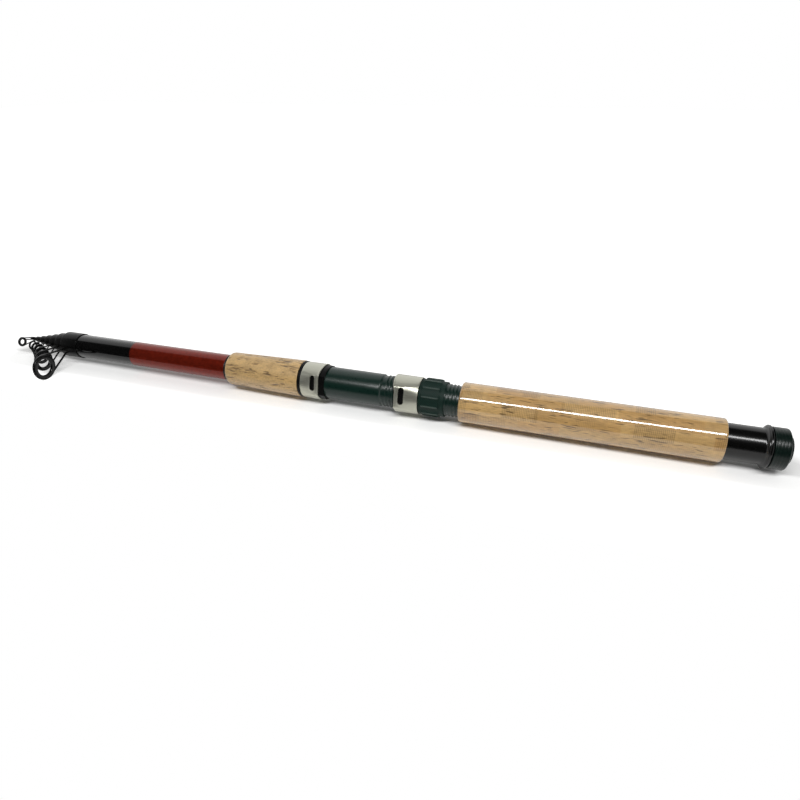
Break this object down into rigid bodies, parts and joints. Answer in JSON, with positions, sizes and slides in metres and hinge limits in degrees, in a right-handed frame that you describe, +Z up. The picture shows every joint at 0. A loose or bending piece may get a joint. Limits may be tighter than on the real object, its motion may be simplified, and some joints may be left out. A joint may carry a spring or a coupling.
{
  "type": "telescopic fishing rod",
  "caption": "Closed telescopic fishing rod with cork grips, a screw-down reel seat, nested tapered sections with wire line guides, and a screw-on butt cap.",
  "frame": {"origin": "centre of the butt end face, on the rod's axis", "axes": "+X out of the butt along the rod, the tip towards -X; +Z up; the guides stand towards -Y"},
  "size_m": [0.588, 0.0574, 0.0306],
  "materials": {
    "cork_lacquered": "clear lacquered cork sheet",
    "cork_natural": "natural cork",
    "seat_plastic": "moulded, very dark green black",
    "cushion_plastic": "moulded black",
    "hood_steel": "satin stainless sheet",
    "blank_lacquer": "red and black lacquer on glass fibre",
    "section_lacquer": "black lacquer on glass fibre",
    "guide_metal": "black coated wire and tube",
    "ring_liner": "polished dark ceramic",
    "trim_black": "black",
    "winding_thread": "black thread under varnish",
    "ferrule_black": "glossy black",
    "soft_rubber": "black rubber"
  },
  "bodies": {
    "handle": {"butt_section": "blank_lacquer", "fore_winding": "winding_thread", "fore_grip": "cork_natural", "trim_ring": "trim_black", "reel_seat_barrel": "seat_plastic", "fixed_hood": "hood_steel", "fixed_hood_cushion": "cushion_plastic", "rear_grip": "cork_lacquered", "butt_ferrule": "ferrule_black", "stripper_frame": "guide_metal", "stripper_ring": "ring_liner"},
    "moving_hood": {"moving_hood": "hood_steel", "moving_hood_cushion": "cushion_plastic"},
    "lock_nut": {"lock_nut": "seat_plastic"},
    "cap_seal": {"cap_seal": "soft_rubber"},
    "butt_cap": {"butt_cap": "seat_plastic", "end_disc": "seat_plastic", "rattle_pad": "soft_rubber"},
    "section_1": {"section_1": "section_lacquer", "guide_1_frame": "guide_metal", "guide_1_ring": "ring_liner"},
    "section_2": {"section_2": "section_lacquer", "guide_2_frame": "guide_metal", "guide_2_ring": "ring_liner"},
    "section_3": {"section_3": "section_lacquer", "guide_3_frame": "guide_metal", "guide_3_ring": "ring_liner"},
    "section_4": {"section_4": "section_lacquer", "guide_4_frame": "guide_metal", "guide_4_ring": "ring_liner"},
    "section_5": {"section_5": "section_lacquer", "guide_5_frame": "guide_metal", "guide_5_ring": "ring_liner"},
    "tip_section": {"tip_section": "section_lacquer", "tip_top_frame": "guide_metal", "tip_top_ring": "ring_liner"}
  },
  "joints": [
    {"name": "section_1_slide", "type": "slide", "parent": "handle", "child": "section_1", "axis": [-1, 0, 0], "range_m": [0, 0.459]},
    {"name": "section_2_slide", "type": "slide", "parent": "section_1", "child": "section_2", "axis": [-1, 0, 0], "range_m": [0, 0.467]},
    {"name": "section_3_slide", "type": "slide", "parent": "section_2", "child": "section_3", "axis": [-1, 0, 0], "range_m": [0, 0.474]},
    {"name": "section_4_slide", "type": "slide", "parent": "section_3", "child": "section_4", "axis": [-1, 0, 0], "range_m": [0, 0.481]},
    {"name": "section_5_slide", "type": "slide", "parent": "section_4", "child": "section_5", "axis": [-1, 0, 0], "range_m": [0, 0.488]},
    {"name": "tip_section_slide", "type": "slide", "parent": "section_5", "child": "tip_section", "axis": [-1, 0, 0], "range_m": [0, 0.494]},
    {"name": "hood_slide", "type": "slide", "parent": "handle", "child": "moving_hood", "axis": [-1, 0, 0], "range_m": [-0.01, 0.025]},
    {"name": "nut_turn", "type": "hinge", "parent": "moving_hood", "child": "lock_nut", "pos_m": [-0.2225, 0, 0], "axis": [-1, 0, 0], "range_deg": [-1440, 3600]},
    {"name": "cap_slide", "type": "slide", "parent": "handle", "child": "cap_seal", "axis": [1, 0, 0], "range_m": [0, 0.0165]},
    {"name": "cap_turn", "type": "hinge", "parent": "cap_seal", "child": "butt_cap", "pos_m": [-0.006, 0, 0], "axis": [1, 0, 0], "range_deg": [0, 3960]}
  ],
  "couplings": [
    {"joint": "nut_turn", "follows": "hood_slide", "rad_per_m": 2513.3},
    {"joint": "cap_turn", "follows": "cap_slide", "rad_per_m": 4188.8}
  ]
}
